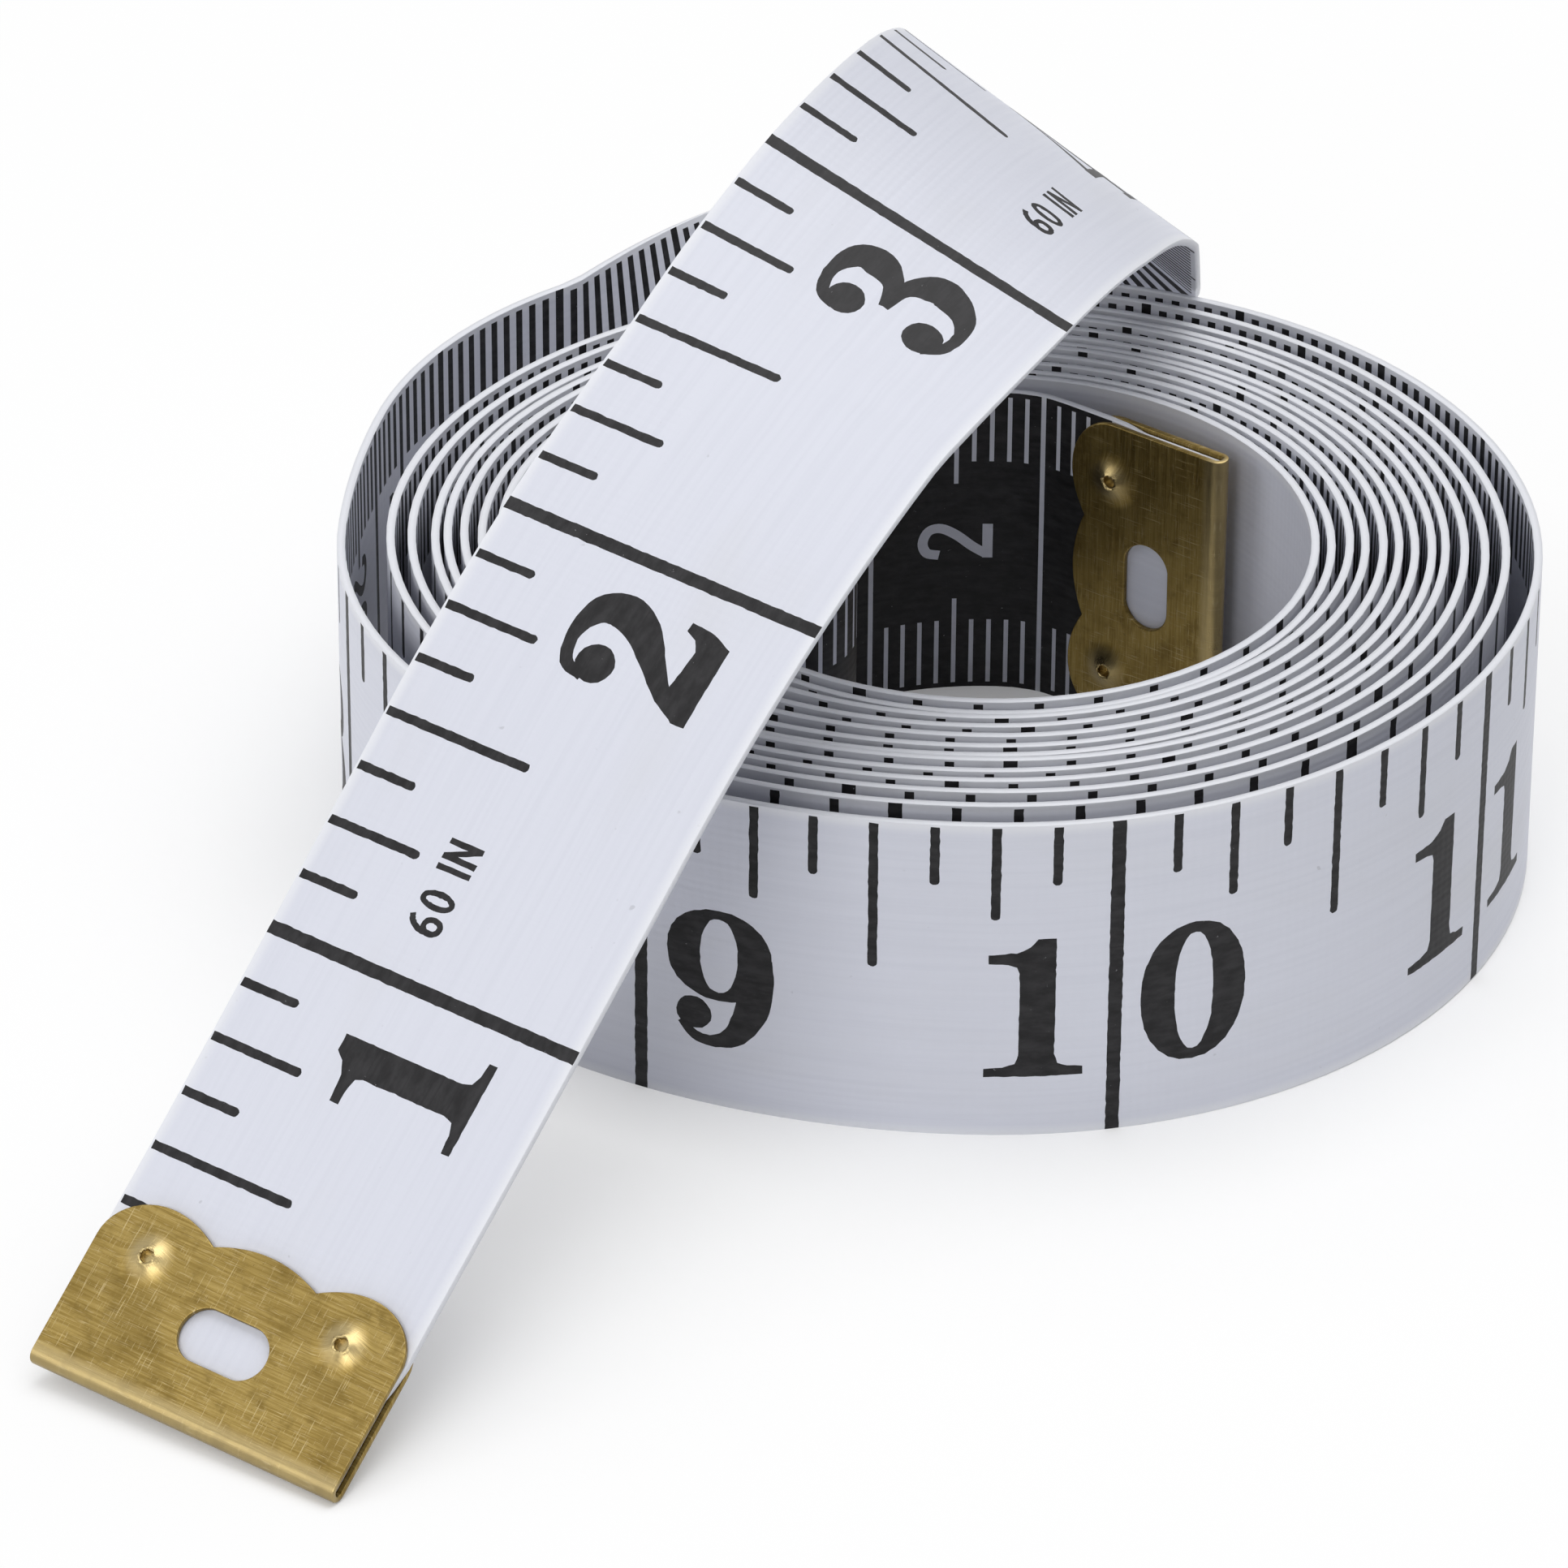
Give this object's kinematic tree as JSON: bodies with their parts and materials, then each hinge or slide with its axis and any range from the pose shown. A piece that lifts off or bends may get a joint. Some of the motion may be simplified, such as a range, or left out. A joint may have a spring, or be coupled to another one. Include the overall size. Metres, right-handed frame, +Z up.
{
  "type": "cloth tape measure",
  "caption": "Loose coil of printed cloth measuring tape standing on edge, its free end rolled up and over the coil and down in front, with a folded brass tip on each end.",
  "frame": {"origin": "middle of the bounding box's footprint, at the level the coil stands on", "axes": "+Z up, -Y towards the side where the free end comes down, +X to the right seen from there"},
  "size_m": [0.0788, 0.1118, 0.0454],
  "materials": {
    "tape": "satin vinyl coat on glass cloth, printed in black",
    "brass": "brushed, a little tarnished"
  },
  "bodies": {
    "coil": {"tape_coil": "tape"},
    "loop": {"tape_loop": "tape"},
    "crest": {"tape_crest": "tape"},
    "tail_upper": {"tape_tail_upper": "tape"},
    "tail_middle": {"tape_tail_middle": "tape"},
    "tail_lower": {"tape_tail_lower": "tape"},
    "outer_end": {"tape_tail_end": "tape", "outer_tip": "brass"},
    "inner_end": {"tape_inner_end": "tape", "inner_tip": "brass"}
  },
  "joints": [
    {"name": "outer_turn_opens", "type": "hinge", "parent": "coil", "child": "loop", "pos_m": [-0.02403, 0.02091, 0.00953], "axis": [0, 0, 1], "range_deg": [0, 15], "stiffness_Nm_per_rad": 0.01},
    {"name": "roll_opens", "type": "hinge", "parent": "loop", "child": "crest", "pos_m": [0.01422, 0.03674, 0.02583], "axis": [-0.7784, 0.4087, 0.4765], "range_deg": [0, 45], "stiffness_Nm_per_rad": 0.01},
    {"name": "tail_lifts", "type": "hinge", "parent": "crest", "child": "tail_upper", "pos_m": [0.00666, 0.00403, 0.04111], "axis": [-0.8216, 0.4131, 0.3929], "range_deg": [0, 60], "stiffness_Nm_per_rad": 0.01},
    {"name": "tail_straightens", "type": "hinge", "parent": "tail_upper", "child": "tail_middle", "pos_m": [-0.00467, -0.01362, 0.03487], "axis": [-0.8464, 0.5216, 0.1079], "range_deg": [0, 30], "stiffness_Nm_per_rad": 0.01},
    {"name": "tail_flexes", "type": "hinge", "parent": "tail_middle", "child": "tail_lower", "pos_m": [-0.01576, -0.02907, 0.02208], "axis": [-0.8348, 0.5465, 0.0673], "range_deg": [0, 35], "stiffness_Nm_per_rad": 0.01},
    {"name": "tip_lifts", "type": "hinge", "parent": "tail_lower", "child": "outer_end", "pos_m": [-0.02638, -0.0435, 0.0075], "axis": [-0.8252, 0.5632, 0.0438], "range_deg": [0, 40], "stiffness_Nm_per_rad": 0.01},
    {"name": "inner_end_swings", "type": "hinge", "parent": "coil", "child": "inner_end", "pos_m": [0.0023, 0.02221, 0.00953], "axis": [0, 0, -1], "range_deg": [0, 30], "stiffness_Nm_per_rad": 0.01}
  ]
}
